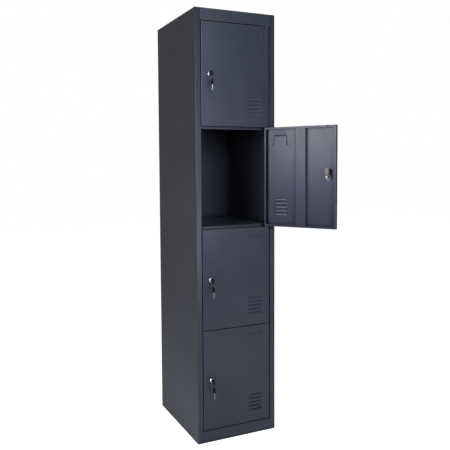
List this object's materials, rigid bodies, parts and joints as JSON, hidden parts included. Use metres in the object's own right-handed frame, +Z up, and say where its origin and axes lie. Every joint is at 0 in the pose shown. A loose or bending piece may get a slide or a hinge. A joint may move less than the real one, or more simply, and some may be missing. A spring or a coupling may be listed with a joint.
{
  "type": "locker cabinet",
  "caption": "Tall narrow steel locker cabinet with stacked hinged doors, pressed louvres and key-operated cam locks; one door stands open.",
  "frame": {"origin": "centre of the cabinet's base, on the floor", "axes": "+X to the right seen from the front, +Y from the front to the back, +Z up; the doors face -Y"},
  "size_m": [0.54, 0.7113, 1.85],
  "materials": {
    "powder_coat": "satin powder coat, dark blue-grey",
    "nylon": "natural nylon",
    "bright_steel": "bright nickel-plated steel",
    "zinc_plate": "passivated zinc plate",
    "chrome": "polished chrome plate",
    "key_plastic": "black moulded bow on a steel blade"
  },
  "bodies": {
    "cabinet": {"left_side_panel": "powder_coat", "right_side_panel": "powder_coat", "back_panel": "powder_coat", "top_panel": "powder_coat", "base_frame": "powder_coat", "floor_panel": "powder_coat", "shelf_1": "powder_coat", "shelf_2": "powder_coat", "shelf_3": "powder_coat", "hinge_tabs": "powder_coat", "hinge_pins": "bright_steel"},
    "door_1": {"door_1_shell": "powder_coat", "door_1_stiffener": "powder_coat", "door_1_bushes": "nylon", "lock_1_housing": "chrome", "lock_1_nut": "bright_steel"},
    "lock_core_1": {"lock_1_plug": "chrome", "lock_1_cam": "zinc_plate", "lock_1_screw": "bright_steel"},
    "key_1": {"key_1": "key_plastic"},
    "ring_1": {"ring_1": "bright_steel"},
    "spare_1": {"spare_1": "key_plastic"},
    "door_2": {"door_2_shell": "powder_coat", "door_2_stiffener": "powder_coat", "door_2_bushes": "nylon", "lock_2_housing": "chrome", "lock_2_nut": "bright_steel"},
    "lock_core_2": {"lock_2_plug": "chrome", "lock_2_cam": "zinc_plate", "lock_2_screw": "bright_steel"},
    "key_2": {"key_2": "key_plastic"},
    "ring_2": {"ring_2": "bright_steel"},
    "spare_2": {"spare_2": "key_plastic"},
    "door_3": {"door_3_shell": "powder_coat", "door_3_stiffener": "powder_coat", "door_3_bushes": "nylon", "lock_3_housing": "chrome", "lock_3_nut": "bright_steel"},
    "lock_core_3": {"lock_3_plug": "chrome", "lock_3_cam": "zinc_plate", "lock_3_screw": "bright_steel"},
    "key_3": {"key_3": "key_plastic"},
    "ring_3": {"ring_3": "bright_steel"},
    "spare_3": {"spare_3": "key_plastic"},
    "door_4": {"door_4_shell": "powder_coat", "door_4_stiffener": "powder_coat", "door_4_bushes": "nylon", "lock_4_housing": "chrome", "lock_4_nut": "bright_steel"},
    "lock_core_4": {"lock_4_plug": "chrome", "lock_4_cam": "zinc_plate", "lock_4_screw": "bright_steel"},
    "key_4": {"key_4": "key_plastic"},
    "ring_4": {"ring_4": "bright_steel"},
    "spare_4": {"spare_4": "key_plastic"}
  },
  "joints": [
    {"name": "door_1_hinge", "type": "hinge", "parent": "cabinet", "child": "door_1", "pos_m": [0.154, -0.2195, 1.58038], "axis": [0, 0, 1], "range_deg": [0, 125]},
    {"name": "lock_1_turn", "type": "hinge", "parent": "door_1", "child": "lock_core_1", "pos_m": [-0.125, -0.225, 1.58038], "axis": [0, -1, 0], "range_deg": [0, 90]},
    {"name": "key_1_pull", "type": "slide", "parent": "lock_core_1", "child": "key_1", "axis": [0, -1, 0], "range_m": [0, 0.024]},
    {"name": "ring_1_swing", "type": "hinge", "parent": "key_1", "child": "ring_1", "pos_m": [-0.125, -0.2515, 1.57908], "axis": [-1, 0, 0], "range_deg": [-10, 90]},
    {"name": "spare_1_swing", "type": "hinge", "parent": "ring_1", "child": "spare_1", "pos_m": [-0.125, -0.2515, 1.55208], "axis": [-1, 0, 0], "range_deg": [-10, 90]},
    {"name": "door_2_hinge", "type": "hinge", "parent": "cabinet", "child": "door_2", "pos_m": [0.154, -0.2195, 1.14413], "axis": [0, 0, 1], "range_deg": [-125, 0]},
    {"name": "lock_2_turn", "type": "hinge", "parent": "door_2", "child": "lock_core_2", "pos_m": [0.31853, -0.44489, 1.14413], "axis": [0.8192, 0.5736, 0], "range_deg": [0, 90]},
    {"name": "key_2_pull", "type": "slide", "parent": "lock_core_2", "child": "key_2", "axis": [0.8192, 0.5736, 0], "range_m": [0, 0.024]},
    {"name": "ring_2_swing", "type": "hinge", "parent": "key_2", "child": "ring_2", "pos_m": [0.34024, -0.42969, 1.14282], "axis": [0.5736, -0.8192, 0], "range_deg": [-10, 90]},
    {"name": "spare_2_swing", "type": "hinge", "parent": "ring_2", "child": "spare_2", "pos_m": [0.34024, -0.42969, 1.11583], "axis": [0.5736, -0.8192, 0], "range_deg": [-10, 90]},
    {"name": "door_3_hinge", "type": "hinge", "parent": "cabinet", "child": "door_3", "pos_m": [0.154, -0.2195, 0.70788], "axis": [0, 0, 1], "range_deg": [0, 125]},
    {"name": "lock_3_turn", "type": "hinge", "parent": "door_3", "child": "lock_core_3", "pos_m": [-0.125, -0.225, 0.70788], "axis": [0, -1, 0], "range_deg": [0, 90]},
    {"name": "key_3_pull", "type": "slide", "parent": "lock_core_3", "child": "key_3", "axis": [0, -1, 0], "range_m": [0, 0.024]},
    {"name": "ring_3_swing", "type": "hinge", "parent": "key_3", "child": "ring_3", "pos_m": [-0.125, -0.2515, 0.70657], "axis": [-1, 0, 0], "range_deg": [-10, 90]},
    {"name": "spare_3_swing", "type": "hinge", "parent": "ring_3", "child": "spare_3", "pos_m": [-0.125, -0.2515, 0.67958], "axis": [-1, 0, 0], "range_deg": [-10, 90]},
    {"name": "door_4_hinge", "type": "hinge", "parent": "cabinet", "child": "door_4", "pos_m": [0.154, -0.2195, 0.27163], "axis": [0, 0, 1], "range_deg": [0, 125]},
    {"name": "lock_4_turn", "type": "hinge", "parent": "door_4", "child": "lock_core_4", "pos_m": [-0.125, -0.225, 0.27163], "axis": [0, -1, 0], "range_deg": [0, 90]},
    {"name": "key_4_pull", "type": "slide", "parent": "lock_core_4", "child": "key_4", "axis": [0, -1, 0], "range_m": [0, 0.024]},
    {"name": "ring_4_swing", "type": "hinge", "parent": "key_4", "child": "ring_4", "pos_m": [-0.125, -0.2515, 0.27032], "axis": [-1, 0, 0], "range_deg": [-10, 90]},
    {"name": "spare_4_swing", "type": "hinge", "parent": "ring_4", "child": "spare_4", "pos_m": [-0.125, -0.2515, 0.24333], "axis": [-1, 0, 0], "range_deg": [-10, 90]}
  ]
}
